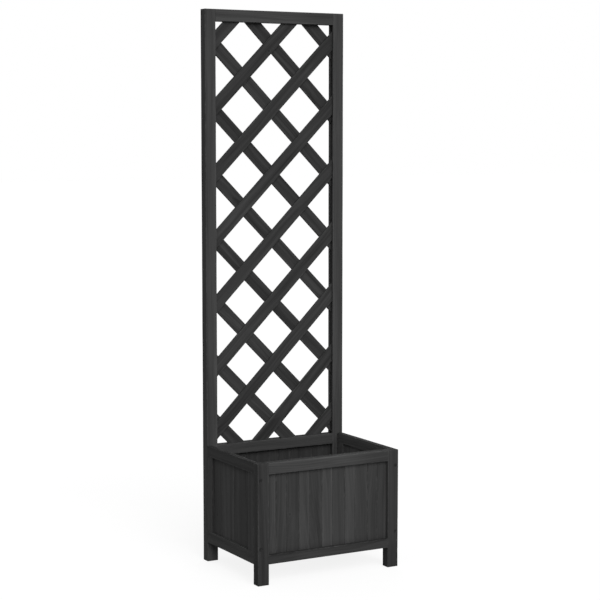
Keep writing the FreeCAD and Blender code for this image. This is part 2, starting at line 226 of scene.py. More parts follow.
def slotted_rectangle(p_low, p_high, q_low, q_high, side, slot):
    """A four-cornered section with a slot in one side, 0 to 3 anticlockwise from q low.

    slot is the slot's two places along that side. Which points lie inside the slot is kept
    on the outline, so that the slot can be stopped short of an end.
    """
    corners = np.array([(p_low, q_low), (p_high, q_low), (p_high, q_high), (p_low, q_high)])
    start = corners[side]
    ahead = corners[(side + 1) % 4] - start
    ahead /= np.linalg.norm(ahead)
    inward = np.array([-ahead[1], ahead[0]])
    axis = int(abs(ahead[1]) > 0.5)
    first, last = sorted(abs(place - start[axis]) for place in slot)
    notch = [
        start + first * ahead,
        start + first * ahead + GROOVE_DEPTH * inward,
        start + last * ahead + GROOVE_DEPTH * inward,
        start + last * ahead,
    ]
    rounded = list(corners[: side + 1]) + notch + list(corners[side + 1 :])
    notch_eases = [SLOT_LIP_EASE, SLOT_CORNER_EASE, SLOT_CORNER_EASE, SLOT_LIP_EASE]
    eases = [EASE] * (side + 1) + notch_eases + [EASE] * (3 - side)
    outline = Outline(rounded, eases, (side + 1, side + 2, side + 3), FINE_STEP)
    depth = (outline.base - start) @ inward
    along = (outline.base - start) @ ahead
    near_slot = abs(along - (first + last) / 2) < last - first
    inside = (depth > 0) & (depth < GROOVE_DEPTH * 1.01) & near_slot
    outline.slot_points = np.flatnonzero(inside)
    outline.slot_axis = 1 - axis
    outline.slot_mouth = (start + STOPPED_DEPTH * inward)[1 - axis]
    return outline


# Wood: the log that each piece is sawn from

def waves(rng, count, longest, shortest):
    """A smooth wandering line: a sum of sines of falling size with chosen phases."""
    lengths = np.geomspace(longest, shortest, count)
    phases = rng.uniform(0, 2 * math.pi, count)
    sizes = lengths / lengths.sum()

    def line(t):
        angle = 2 * math.pi * t[..., None] / lengths + phases
        return (np.sin(angle) * sizes).sum(-1)

    return line


class Log:
    """Growth rings round a pith that wanders beside the piece.

    The grain place of a point is its offset from the pith across the grain, stretched by a
    slow bulge of the trunk, and its distance along the grain: (across, across, along).
    taper is how fast the radius grows along the piece, lowest and highest.
    """

    def __init__(self, seed, centre, taper):
        rng = np.random.default_rng(seed)
        turn = rng.uniform(0, 2 * math.pi)
        away = rng.uniform(*PITH_AWAY) * MM
        self.pith = np.array(centre) + away * np.array([math.cos(turn), math.sin(turn)])
        drift_p = waves(rng, count=3, longest=0.9, shortest=0.2)
        drift_q = waves(rng, count=3, longest=0.8, shortest=0.17)
        self.drift = (drift_p, drift_q)
        self.bulge = waves(rng, count=3, longest=0.05, shortest=0.018)
        self.start = rng.uniform(0, GRAIN_STARTS)
        self.taper = rng.choice([-1, 1]) * rng.uniform(*taper)
        self.rng = rng

    def grain(self, points, along):
        """Grain place of every point, as an array with 3 columns."""
        drift = np.stack([line(along) for line in self.drift], -1) * PITH_DRIFT
        offset = points - self.pith - drift
        radius = np.linalg.norm(offset, axis=-1)
        angle_walk = np.arctan2(offset[..., 1], offset[..., 0]) * radius
        bulge = self.bulge(angle_walk + along * BULGE_LEAN) * TRUNK_BULGE
        stretched = radius + bulge + self.taper * along
        offset = offset * (stretched / radius)[..., None]
        return np.concatenate([offset, (along + self.start)[..., None]], -1)


def late_wood(grain):
    """How far each point is into the hard, dark part of its ring, 0 to 1."""
    share = np.linalg.norm(grain[..., :2], axis=-1) / RING_SPACING % 1
    rise = np.clip((share - LATE_STARTS) / (LATE_FULL - LATE_STARTS), 0, 1)
    fall = np.clip((1 - share) / (1 - LATE_FADES), 0, 1)
    return rise * rise * (3 - 2 * rise) * fall


# Surfaces

def end_rounding(low, high, low_ease, high_ease, extra=()):
    """Stations along a piece and how far its outline draws in at each.

    Each end is a quarter round: at the angle a from its face the station stands
    ease * (1 - sin a) inside the end and the outline draws in by ease * (1 - cos a).
    extra holds arrays of further stations between the ends.
    """
    angles = np.linspace(math.pi / 2, 0, END_STEPS)
    inner = np.arange(1, max(2, round((high - low) / LENGTH_STEP)))
    inner = low + (high - low) * inner / (len(inner) + 1)
    inner = inner[(inner > low + low_ease * 1.01) & (inner < high - high_ease * 1.01)]
    inner = np.unique(np.concatenate([inner, *extra]))
    at = np.concatenate([
        low + low_ease * (1 - np.sin(angles)),
        inner,
        (high - high_ease * (1 - np.sin(angles)))[::-1],
    ])
    drawn = np.concatenate([
        low_ease * (1 - np.cos(angles)),
        np.zeros(len(inner)),
        (high_ease * (1 - np.cos(angles)))[::-1],
    ])
    return at, drawn


def worn_eases(outline, at, rng):
    """Ease of each corner at each station: uneven sanding and a few small knocks.

    The ease is multiplied by 1 + UNEVEN_EASE * a wandering line, and each knock adds a bell
    curve, exp(-(distance / size) squared). Sharp corners take no knocks.
    """
    eases = np.empty((len(at), len(outline.eases)))
    for corner, ease in enumerate(outline.eases):
        unevenness = waves(rng, count=5, longest=0.35, shortest=0.02)(at)
        eases[:, corner] = ease * (1 + UNEVEN_EASE * unevenness)
        if ease < SLAT_EASE:
            continue
        for place in rng.uniform(at[0], at[-1], rng.integers(0, MOST_KNOCKS + 1)):
            size = rng.uniform(*KNOCK_SIZES) * MM
            eases[:, corner] += KNOCK_DEPTH * ease * np.exp(-(((at - place) / size) ** 2))
    return eases


def carried_surface(
    outline, at, drawn, axes, origin, seed, clip=None, stops=(), mouths=(), taper=STRAIGHT_GRAIN
):
    """Carries an outline along the grain and brushes its faces down between the rings.

    Point = origin + p * axes[0] + q * axes[1] + t * axes[2]. Each point moves in along
    its own normal by the end rounding, plus the brushed depth where the ring is soft, plus
    a slow wave left by the plane. clip, if given, turns a station and p into the t of a
    slanting end. stops, if given, are the two ends of the outline's slot. mouths are the
    screw holes, each (p, t, way its face looks along q): inside its radius the face drops
    to the mouth's depth over a short wall. taper is as in Log. Returns the points, the
    faces and the values that the finish reads.
    """
    centre = (outline.base.min(0) + outline.base.max(0)) / 2
    log = Log(seed, centre, taper)
    section = outline.carried(worn_eases(outline, at, log.rng))
    along = np.broadcast_to(at[:, None], section.shape[:2])
    if clip is not None:
        along = clip(at, section[..., 0])
    grain = log.grain(section, along)
    plane_wave = waves(log.rng, count=4, longest=0.5, shortest=0.06)
    wave = 0.5 + 0.5 * plane_wave(along + WAVE_SLANT * section.sum(-1))
    depth = BRUSHED_DEPTH * (1 - late_wood(grain)) + PLANED_WAVE * wave
    fade = 1 - np.clip(drawn / max(drawn.max(), 1e-9), 0, 1)
    inward = depth * outline.shown * fade[:, None] + drawn[:, None]
    for p, t, way in mouths:
        apart = np.hypot(section[..., 0] - p, along - t)
        drop = np.clip((SCREW_MOUTH + SCREW_MOUTH_WALL - apart) / SCREW_MOUTH_WALL, 0, 1)
        holed_face = outline.facing[:, 1] * way > HOLED_FACE_TURN
        inward = inward + SCREW_MOUTH_DEPTH * drop * holed_face
    section = section - inward[..., None] * outline.facing
    if stops:
        closed = np.flatnonzero((at < stops[0]) | (at > stops[1]))
        section[closed[:, None], outline.slot_points, outline.slot_axis] = outline.slot_mouth
    axes = np.array(axes, float)
    points = (
        np.array(origin, float)
        + section[..., :1] * axes[0]
        + section[..., 1:] * axes[1]
        + along[..., None] * axes[2]
    )
    stations, round_count = section.shape[:2]
    rows = np.arange(stations - 1)[:, None] * round_count
    columns = np.arange(round_count)[None, :]
    near = rows + columns
    beside = rows + (columns + 1) % round_count
    corners = [near, beside, beside + round_count, near + round_count]
    quads = np.stack(corners, -1).reshape(-1, 4)
    last = (stations - 1) * round_count
    caps = [np.arange(round_count)[::-1], last + np.arange(round_count)]
    edge = np.broadcast_to(outline.edge, section.shape[:2])
    end = np.zeros(section.shape[:2])
    end[[0, -1]] = 1
    return {
        "points": points.reshape(-1, 3),
        "quads": quads,
        "caps": caps,
        "grain": grain.reshape(-1, 3),
        "edge": edge.reshape(-1),
        "end": end.reshape(-1),
    }


def make_piece(name, parts, finish, tone):
    """One object from one or more surfaces, standing for the CAD node of its name.

    Its points carry what the finish reads: the grain place, how near an edge it is, the
    stain's lightness with painted light and shade, and the grain place measured from the
    piece's knot, if it has one.
    The end grain is darker by a fixed share.
    """
    points, grain, edge, end = (
        np.concatenate([part[key] for part in parts]) for key in ("points", "grain", "edge", "end")
    )
    faces = []
    start = 0
    for part in parts:
        faces += (part["quads"] + start).tolist()
        faces += [(cap + start).tolist() for cap in part["caps"]]
        start += len(part["points"])
    mesh = bpy.data.meshes.new(name)
    mesh.from_pydata(points, [], faces)
    from_knot = np.ones((len(points), 3))
    if name in KNOTS:
        nearest = np.linalg.norm(points - np.array(KNOTS[name]) * MM, axis=1).argmin()
        from_knot = grain - grain[nearest]
    for label, vectors in (("grain", grain), ("knot", from_knot)):
        stored = mesh.attributes.new(label, "FLOAT_VECTOR", "POINT")
        stored.data.foreach_set("vector", vectors.ravel())
    for label, numbers in (("edge", edge), ("tone", tone * (1 - END_GRAIN_DARKER * end))):
        stored = mesh.attributes.new(label, "FLOAT", "POINT")
        stored.data.foreach_set("value", numbers)
    mesh.polygons.foreach_set("use_smooth", np.ones(len(faces), bool))
    mesh.set_sharp_from_angle(angle=SHARP_FOLD)
    mesh.materials.append(finish)
    mesh.update()
    piece = bpy.data.objects.new(name + ".shown", mesh)
    bpy.context.scene.collection.objects.link(piece)
    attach(piece, "root")
    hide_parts(name)
    return piece


# Each surface is sawn from a log of its own, in the order in which they are made
seeds = iter(range(100, 1000))

# Section axes for a piece whose grain runs along X, Y or Z: (p, q, t) stay right-handed
X, Y, Z = np.eye(3)
AXES = {"x": (Y, Z, X), "y": (Z, X, Y), "z": (X, Y, Z)}
ORDER = {"x": (1, 2, 0), "y": (2, 0, 1), "z": (0, 1, 2)}


def sorted_box(low, high, along):
    """(p low, p high, q low, q high, t low, t high) of a box."""
    p, q, t = ORDER[along]
    return low[p], high[p], low[q], high[q], low[t], high[t]


def timber(
    low, high, along, end_ease=BUTT_EASE, outline=None, stops=(), mouths=(), taper=STRAIGHT_GRAIN
):
    """A straight timber filling a box, its grain along one axis.

    stops, mouths and taper are as in carried_surface; stations stand close on both sides of
    each stop, and close together across each screw mouth.
    """
    p_low, p_high, q_low, q_high, t_low, t_high = sorted_box(low, high, along)
    if outline is None:
        outline = rectangle(p_low, p_high, q_low, q_high, EASE)
    beside_stop = np.array([-BESIDE_STOP, BESIDE_STOP])
    across_mouth = np.linspace(-1, 1, MOUTH_STATIONS) * (SCREW_MOUTH + SCREW_MOUTH_WALL)
    extra = [stop + beside_stop for stop in stops] + [mouth[1] + across_mouth for mouth in mouths]
    at, drawn = end_rounding(t_low, t_high, end_ease, end_ease, extra)
    cuts = {"stops": stops, "mouths": mouths, "taper": taper}
    return carried_surface(outline, at, drawn, AXES[along], (0, 0, 0), next(seeds), **cuts)


# Materials

class Wire:
    """A socket in a node tree. Arithmetic on wires adds Math nodes."""

    def __init__(self, tree, socket=None):
        self.tree = tree
        self.socket = socket

    def node(self, kind, settings=None, inputs=None, output=0):
        """Adds any node: its settings are set first, then its sockets get values or wires."""
        made = self.tree.nodes.new(kind)
        for key, value in (settings or {}).items():
            setattr(made, key, value)
        for key, value in (inputs or {}).items():
            if isinstance(value, Wire):
                self.tree.links.new(value.socket, made.inputs[key])
            else:
                made.inputs[key].default_value = value
        return Wire(self.tree, made.outputs[output] if made.outputs else None)

    def other(self, output):
        """Another output of the same node."""
        return Wire(self.tree, self.socket.node.outputs[output])

    def math(self, operation, *values):
        return self.node("ShaderNodeMath", {"operation": operation}, dict(enumerate(values)))

    def __add__(self, value):
        return self.math("ADD", self, value)

    def __radd__(self, value):
        return self.math("ADD", value, self)

    def __sub__(self, value):
        return self.math("SUBTRACT", self, value)

    def __rsub__(self, value):
        return self.math("SUBTRACT", value, self)

    def __mul__(self, value):
        return self.math("MULTIPLY", self, value)

    def __rmul__(self, value):
        return self.math("MULTIPLY", value, self)

    def __truediv__(self, value):
        return self.math("DIVIDE", self, value)

    def between(self, low, high):
        """A smooth step from 0 at low to 1 at high; high may be the lower of the two."""
        settings = {"interpolation_type": "SMOOTHSTEP"}
        inputs = {"Value": self, "From Min": low, "From Max": high}
        return self.node("ShaderNodeMapRange", settings, inputs)

    def mix(self, colour_a, colour_b):
        """A colour between two, by this wire as the share of the second."""
        settings = {"data_type": "RGBA", "clamp_factor": True}
        return self.node("ShaderNodeMix", settings, {0: self, 6: colour_a, 7: colour_b}, output=2)

    def scaled(self, factors):
        """This vector times three factors."""
        return self.node("ShaderNodeVectorMath", {"operation": "MULTIPLY"}, {0: self, 1: factors})

    def length(self):
        """The length of this vector."""
        return self.node("ShaderNodeVectorMath", {"operation": "LENGTH"}, {0: self}, output="Value")

    def noise(self, detail, roughness):
        """Smooth noise about 0.5 at this vector, one unit to a lump."""
        inputs = {"Vector": self, "Scale": 1.0, "Detail": detail, "Roughness": roughness}
        return self.node("ShaderNodeTexNoise", None, inputs)


def new_material(name):
    """An empty material and a wire into its tree."""
    material = bpy.data.materials.new(name)
    material.use_nodes = True
    material.node_tree.nodes.clear()
    return material, Wire(material.node_tree)


def grey(value):
    return (value, value, value, 1.0)


# The figures of the wood: lumps to a metre, twice across and once along the grain, then the
# detail and the roughness of their noise
FIBRE = ((900.0, 900.0, 14.0), 3.0, 0.6)
STREAK = ((190.0, 190.0, 2.6), 2.0, 0.5)
BAND = ((85.0, 85.0, 1.6), 2.0, 0.5)
CLOUD = ((28.0, 28.0, 5.0), 2.0, 0.5)
RUBBED = ((260.0, 260.0, 60.0), 3.0, 0.6)

# How much lighter or darker each figure makes the stain
BAND_LIFT, STREAK_LIFT, FIBRE_LIFT, CLOUD_LIFT = 0.84, 0.36, 0.30, 0.30
LATE_DARKER, HEART_DARKER, RIM_LIGHTER = 0.10, 0.22, 0.10

# A knot, in millimetres from its middle: where its heart, its rim and the bend of the rings
# round it are nothing and where they are full; and how many rings the bend takes in
HEART, RIM, BEND = (3.8, 2.6), (6.5, 4.5), (9.0, 2.0)
BEND_ALONG, BEND_RINGS = 0.35, 2.2

RUBBED_THROUGH = (0.45, 0.70)
RUBBED_SHARE, RUBBED_WOOD = 0.55, grey(0.075)
WOOD_ROUGHNESS = 0.58
WOOD_SPECULAR = 0.006


def black_stained_fir(name, stain, contrast):
    """Planed fir under a thin black stain: rings, fibres, streaks, rubbed edges and knots.

    Everything follows the grain place stored on the piece. The radius from the pith
    divided by the ring spacing gives the ring; noise drawn out along the grain gives the
    fibres and the broader streaks where the stain soaked in more or less.
    """
    material, sheet = new_material(name)
    grain = sheet.node("ShaderNodeAttribute", {"attribute_name": "grain"}, output="Vector")
    edge = sheet.node("ShaderNodeAttribute", {"attribute_name": "edge"}, output="Fac")
    tone = sheet.node("ShaderNodeAttribute", {"attribute_name": "tone"}, output="Fac")
    knot = sheet.node("ShaderNodeAttribute", {"attribute_name": "knot"}, output="Vector")

    bend = (knot.scaled((1.0, 1.0, BEND_ALONG)).length() / MM).between(*BEND)
    knot_distance = knot.length() / MM
    heart = knot_distance.between(*HEART)
    rim = knot_distance.between(*RIM) - heart
    radius = grain.scaled((1.0, 1.0, 0.0)).length() / RING_SPACING
    rings = radius + bend * BEND_RINGS
    ring = rings.math("FRACT", rings)
    late = ring.between(LATE_STARTS, LATE_FULL) * ring.between(1.0, LATE_FADES)
    fibre, streak, band, cloud, rubbed = (
        grain.scaled(fineness).noise(detail, roughness)
        for fineness, detail, roughness in (FIBRE, STREAK, BAND, CLOUD, RUBBED)
    )
    rub = rubbed.between(*RUBBED_THROUGH) * edge

    lift = (
        1.0
        + (band - 0.5) * (BAND_LIFT * contrast)
        + (streak - 0.5) * (STREAK_LIFT * contrast)
        + (fibre - 0.5) * (FIBRE_LIFT * contrast)
        + (cloud - 0.5) * (CLOUD_LIFT * contrast)
        - late * (LATE_DARKER * contrast)
        - heart * HEART_DARKER
        + rim * RIM_LIGHTER
    )
    shade = lift * tone * stain
    colour = shade.node("ShaderNodeCombineColor", None, {0: shade, 1: shade, 2: shade})
    worn = (rub * RUBBED_SHARE).mix(colour, RUBBED_WOOD)
    rough = WOOD_ROUGHNESS + (fibre - 0.5) * 0.30 - late * 0.10 + (cloud - 0.5) * 0.12
    height = late * 0.45 + fibre * 0.55 + streak * 0.35
    bump = sheet.node(
        "ShaderNodeBump", None, {"Strength": 0.55, "Distance": 0.16 * MM, "Height": height}
    )
    shader = sheet.node(
        "ShaderNodeBsdfPrincipled",
        None,
        {
            "Base Color": worn,
            "Roughness": rough,
            "Specular IOR Level": WOOD_SPECULAR,
            "Normal": bump,
        },
    )
    sheet.node("ShaderNodeOutputMaterial", None, {"Surface": shader})
    return material


DARK_WAX, RUBBED_STEEL = grey(0.015), grey(0.048)
TURNING_SCRATCHES = ((2600.0, 2600.0, 300.0), 3.0, 0.6)
BARE_PATCHES = ((420.0, 420.0, 420.0), 2.0, 0.5)
WAX_WORN_OFF = (0.52, 0.70)


def blackened_steel(name):
    """Fastener steel under a dark wax: fine turning scratches and bare metal on the high spots."""
    material, sheet = new_material(name)
    place = sheet.node("ShaderNodeTexCoord", output="Object")
    scratch, patch = (
        place.scaled(fineness).noise(detail, roughness)
        for fineness, detail, roughness in (TURNING_SCRATCHES, BARE_PATCHES)
    )
    bare = patch.between(*WAX_WORN_OFF)
    colour = bare.mix(DARK_WAX, RUBBED_STEEL)
    rough = 0.55 - bare * 0.15 + (scratch - 0.5) * 0.25
    bump = sheet.node(
        "ShaderNodeBump", None, {"Strength": 0.4, "Distance": 0.05 * MM, "Height": scratch}
    )
    shader = sheet.node(
        "ShaderNodeBsdfPrincipled",
        None,
        {
            "Base Color": colour,
            "Roughness": rough,
            "Metallic": 0.15 + bare * 0.25,
            "Specular IOR Level": 0.10,
            "Normal": bump,
        },
    )
    sheet.node("ShaderNodeOutputMaterial", None, {"Surface": shader})
    return material


FRAME_FINISH = black_stained_fir("frame_stain", stain=0.0458, contrast=1.0)
PANEL_FINISH = black_stained_fir("panel_stain", stain=0.045, contrast=0.9)
LATTICE_FINISH = black_stained_fir("lattice_stain", stain=0.032, contrast=1.4)
FASTENER_FINISH = blackened_steel("dark_fastener_steel")


# Places read from the frame

def node_box(name):
    low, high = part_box(name)
    return np.array(low), np.array(high)


opening_left = node_box("back_post_left")[1][0]
opening_right = node_box("back_post_right")[0][0]
trellis_low = node_box("trellis_lower_rail")[1][2]
side_lower_top = node_box("side_bottom_rail_left")[1][2]
side_upper_low = node_box("side_top_rail_left")[0][2]
slat_numbers = range(1, SLATS + 1)
lattice_low = np.min([node_box(f"rising_slat_{n}")[0] for n in slat_numbers], axis=0)
lattice_high = np.max([node_box(f"falling_slat_{n}")[1] for n in slat_numbers], axis=0)


# Frame timbers

RAILS_ACROSS = (
    "front_top_rail",
    "front_bottom_rail",
    "back_bottom_rail",
    "trellis_lower_rail",
    "trellis_top_rail",
)


def screw_mouths(side, way):
    """The screw holes of one upright: (x, z, way the holed face looks along Y)."""
    x = side * (cad_box[1][0] - SCREW_FROM_SIDE)
    return [(x, z, way) for z in SCREW_HEIGHTS]


def post(name, side):
    """A back post, with the slot for the lattice in its inner face above the planter."""
    low, high = node_box(name)
    slot = (lattice_low[1], lattice_high[1])
    inner_side = 1 if side < 0 else 3
    outline = slotted_rectangle(low[0], high[0], low[1], high[1], inner_side, slot)
    stops = (trellis_low - GROOVE_DEPTH, high[2] - GROOVE_DEPTH)
    return timber(low, high, "z", SAWN_END_EASE, outline, stops, screw_mouths(side, 1))


def leg(name, side):
    """A front leg, with the two screw mouths in its front face."""
    low, high = node_box(name)
    outline = rectangle(low[0], high[0], low[1], high[1], EASE, FINE_STEP)
    return timber(low, high, "z", SAWN_END_EASE, outline, mouths=screw_mouths(side, -1))


def rail_across(name):
    """A rail between the uprights; the trellis's two rails are slotted for the slats."""
    low, high = node_box(name)
    low[0], high[0] = opening_left, opening_right
    slot = (lattice_low[1], lattice_high[1])
    outline = None
    if name == "trellis_top_rail":
        outline = slotted_rectangle(low[1], high[1], low[2], high[2], 0, slot)
    if name == "trellis_lower_rail":
        outline = slotted_rectangle(low[1], high[1], low[2], high[2], 2, slot)
    return timber(low, high, "x", outline=outline)


# How much of the stain's full lightness each timber shows; the rest are at 1
TIMBER_TONES = {
    "front_bottom_rail": 0.76,
    "front_leg_left": 0.71,
    "front_leg_right": 0.75,
    "side_top_rail_left": 0.86,
    "trellis_lower_rail": 0.84,
    "trellis_top_rail": 1.06,
    "back_post_left": 0.97,
    "back_post_right": 0.98,
}

# Where a piece is painted lighter or darker than the rest of it: its share of the lightness
# there, then what tells the place, each an axis, the millimetre where the change starts
# and the millimetre where it is full. Most rows are painted light and shade: painted
# shadow under the top rails and on the front bottom rail's ledge, painted shade in recesses,
# at the boards' bottoms and on top faces, painted light on shaded inner faces and on the
# back-left foot, and a painted highlight on the front top rail's upper arris; the others
# make a piece lighter or darker towards one end or side. The last rows are the boards' ends
# and inner sides, where shade and light are painted
WAY_X, WAY_Y, WAY_Z = 0, 1, 2
STAIN_AND_PAINTED_LIGHT = (
    ("front_top_rail", 0.73, (WAY_X, 30, 150)),
    ("front_top_rail", 1.09, (WAY_Z, 274, 290)),
    # A painted highlight along the front top rail's upper arris, weaker towards the right, and
    # painted shade on its top face
    ("front_top_rail", 1.28, (WAY_Z, 297, 299)),
    ("front_top_rail", 0.82, (WAY_Z, 297, 299), (WAY_X, 90, 165)),
    ("front_top_rail", 0.70, (WAY_Y, -149, -147)),
    ("trellis_top_rail", 0.77, (WAY_X, 30, 150)),
    ("front_bottom_rail", 0.84, (WAY_X, -60, -120)),
    # Painted shadow along the top of the front bottom rail, under the boards
    ("front_bottom_rail", 0.72, (WAY_Z, 66, 73)),
    ("front_leg_left", 0.93, (WAY_Z, 140, 40)),
    # Painted light on the left leg's outer left face above the foot
    ("front_leg_left", 1.18, (WAY_X, -198, -199.5), (WAY_Z, 45, 60)),
    ("front_leg_right", 0.90, (WAY_Z, 210, 110)),
    ("front_leg_right", 0.88, (WAY_Z, 90, 30)),
    # Painted light on the right leg's inner face, more beside the boards than at the foot, where
    # shade falls
    ("front_leg_right", 1.25, (WAY_X, 171.5, 170.5)),
    ("front_leg_right", 1.28, (WAY_X, 171.5, 170.5), (WAY_Z, 48, 62)),
    # Painted light on the back-left post's front face at the foot, which the box shades, and
    # painted shading across that face, darker towards its outer edge and lighter towards its inner
    # edge
    ("back_post_left", 1.55, (WAY_Y, 127, 126.3), (WAY_Z, 75, 45)),
    ("back_post_left", 0.86, (WAY_Y, 128, 127), (WAY_X, -191, -197)),
    ("back_post_left", 1.08, (WAY_Y, 128, 127), (WAY_X, -182, -174)),
    # Painted shade on the side rails' top faces
    ("side_top_rail_left", 0.70, (WAY_Z, 298, 299.5)),
    ("side_top_rail_right", 0.55, (WAY_Z, 298, 299.5)),
    # Painted light on the inner faces of the right side's top rail and back stile, inside the box
    ("side_top_rail_right", 1.45, (WAY_X, 187, 185.5)),
    ("side_back_stile_right", 1.75, (WAY_X, 187, 185.5)),
    # Painted shade on the left back stile's edge in the boards' recess, and painted shadow under
    # the top rail at the tops of both left stiles
    ("side_back_stile_left", 0.66, (WAY_Y, 99.5, 98.5)),
    ("side_back_stile_left", 0.82, (WAY_Z, 264, 273)),
    ("side_front_stile_left", 0.74, (WAY_Z, 264, 273)),
    ("left_board_4", 0.88, (WAY_Y, 75, 56)),
    # Painted shadow on the first front board beside the left leg, lighter past it, and painted
    # light on the last board beside the right leg, where the leg's shadow falls
    ("front_board_1", 0.86, (WAY_X, -160, -164)),
    ("front_board_1", 1.12, (WAY_X, -163, -159)),
    ("front_board_6", 1.25, (WAY_X, 162, 168)),
    # Painted shade at the front boards' bottoms, painted light on them under the front top rail,
    # painted shadow under the left top rail, and painted light on the right boards' inner sides
    *((f"front_board_{n}", 0.84, (WAY_Z, 86, 77)) for n in range(1, FRONT_BOARDS + 1)),
    *((f"front_board_{n}", 1.25, (WAY_Z, 262, 269)) for n in range(1, FRONT_BOARDS + 1)),
    *((f"left_board_{n}", 0.80, (WAY_Z, 262, 269)) for n in range(1, SIDE_BOARDS + 1)),
    *((f"right_board_{n}", 1.75, (WAY_X, 191.5, 189.5)) for n in range(1, SIDE_BOARDS + 1)),
)


def eased(values, start, full):
    """0 up to start, 1 from full on, and a smooth step between; full may be the lower."""
    share = np.clip((values - start) / (full - start), 0, 1)
    return share * share * (3 - 2 * share)


def stain_and_painted_light(name, points):
    """Product of every change of lightness that a piece has, stain and painted light and shade, at
    each of its points.
    """
    product = np.ones(len(points))
    for changed, lightness, *places in STAIN_AND_PAINTED_LIGHT:
        if changed != name:
            continue
        share = np.ones(len(points))
        for way, start, full in places:
            share *= eased(points[:, way], start * MM, full * MM)
        product *= 1 + (lightness - 1) * share
    return product


def timber_tone(name, points):
    """Stain lightness with painted light and shade over a timber."""
    return TIMBER_TONES.get(name, 1.0) * stain_and_painted_light(name, points)


def frame_timbers():
    """Every timber of the frames and the base: its node name and its surfaces."""
    for side, name in ((-1, "left"), (1, "right")):
        yield "front_leg_" + name, [leg("front_leg_" + name, side)]
        yield "back_post_" + name, [post("back_post_" + name, side)]
        for rail in ("side_top_rail_", "side_bottom_rail_"):
            low, high = node_box(rail + name)
            yield rail + name, [timber(low, high, "y")]
        for stile in ("side_front_stile_", "side_back_stile_"):
            low, high = node_box(stile + name)
            low[2], high[2] = side_lower_top, side_upper_low
            yield stile + name, [timber(low, high, "z")]
    for name in RAILS_ACROSS:
        yield name, [rail_across(name)]
    low, high = node_box("base_cleats")
    size = high[2] - low[2]
    yield "base_cleats", [
        timber((x, low[1], low[2]), (x + size, high[1], high[2]), "y")
        for x in (low[0], high[0] - size)
    ]
    low, high = node_box("base_boards")
    width = (high[1] - low[1] - (BASE_BOARDS - 1) * BASE_GAP) / BASE_BOARDS
    fronts = low[1] + (width + BASE_GAP) * np.arange(BASE_BOARDS)
    yield "base_boards", [
        timber((low[0], y, low[2]), (high[0], y + width, high[2]), "x") for y in fronts
    ]


for name, parts in frame_timbers():
    tone = timber_tone(name, np.concatenate([part["points"] for part in parts]))
    piece = make_piece(name, parts, FRAME_FINISH, tone)


# Panel boards

def board_outline(low, high, face, back, grooved, tongued, beaded):
    """Section of a board whose shown face is at q = face, in (along the panel, through it).

    Both faces have a chamfer at each seam and, where beaded, a V line along the board.
    The tongue is on the high edge and its groove on the low edge.
    """
    through = math.copysign(1, back - face)
    middle = (face + back) / 2
    tongue = through * TONGUE_THICKNESS / 2
    chamfer = through * SEAM_CHAMFER
    bead = low + BEAD_PLACE
    sharp, soft = TONGUE_EASE, SEAM_EASE
    start = []
    if grooved:
        start = [(low, middle - tongue, sharp), (low, face + chamfer, soft)]
    start.append((low + (SEAM_CHAMFER if grooved else 0), face, soft))
    if beaded:
        start += [
            (bead - BEAD_DEPTH, face, soft),
            (bead, face + through * BEAD_DEPTH, sharp),
            (bead + BEAD_DEPTH, face, soft),
        ]
    start.append((high - (SEAM_CHAMFER if tongued else 0), face, soft))
    if tongued:
        start += [
            (high, face + chamfer, soft),
            (high, middle - tongue, sharp),
            (high + TONGUE_LENGTH, middle - tongue, sharp),
            (high + TONGUE_LENGTH, middle + tongue, sharp),
            (high, middle + tongue, sharp),
            (high, back - chamfer, soft),
        ]
    start.append((high - (SEAM_CHAMFER if tongued else 0), back, soft))
    if beaded:
        start += [
            (bead + BEAD_DEPTH, back, soft),
            (bead, back - through * BEAD_DEPTH, sharp),
            (bead - BEAD_DEPTH, back, soft),
        ]
    start.append((low + (SEAM_CHAMFER if grooved else 0), back, soft))
    if grooved:
        start += [
            (low, back - chamfer, soft),
            (low, middle + tongue, sharp),
            (low + TONGUE_LENGTH, middle + tongue, sharp),
            (low + TONGUE_LENGTH, middle - tongue, sharp),
        ]
    return start


def anticlockwise(corners):
    """The corners in anticlockwise order, whichever way they came."""
    p, q = np.array([c[:2] for c in corners]).T
    area = (p * np.roll(q, -1) - q * np.roll(p, -1)).sum()
    return corners if area > 0 else corners[::-1]


def boards(prefix, count, along_axis, face_side, beads):
    """The boards of one panel. along_axis is 0 for X or 1 for Y; face_side is -1 or 1."""
    for n in range(1, count + 1):
        name = f"{prefix}_board_{n}"
        low, high = node_box(name)
        across = 1 - along_axis
        grooved, tongued = n > 1, n < count
        face = low[across] if face_side < 0 else high[across]
        back = high[across] if face_side < 0 else low[across]
        edge = high[along_axis] - (TONGUE_LENGTH if tongued else 0)
        beaded = beads and grooved and edge - low[along_axis] > BEAD_PLACE + BEAD_ROOM
        corners = board_outline(low[along_axis], edge, face, back, grooved, tongued, beaded)
        if along_axis == 1:
            corners = [(q, p, ease) for p, q, ease in corners]
        corners = anticlockwise(corners)
        outline = Outline([c[:2] for c in corners], [c[2] for c in corners])
        part = timber(low, high, "z", outline=outline, taper=SLANTING_GRAIN)
        yield name, part, low[along_axis]


# Stain lightness of each board in a panel, and how much its strip left of the V line is
# lighter and the one right of it darker: partly stain, partly painted shading of the V
# line's two sides. The planter's back is one lightness inside, painted shade within the box
BOARD_TONES = (0.94, 0.79, 0.90, 0.97, 0.97, 0.79)
STRIP_STAIN_AND_SHADE_LIFTS = (0.0, 0.05, 0.10, 0.17, 0.11, 0.06)
PAINTED_BACK_INSIDE_SHADE = 0.62
BACK_INSIDE = (142 * MM, 140 * MM)
SIDE_BOARD_TONES = (1.02, 0.97, 1.09, 0.98)


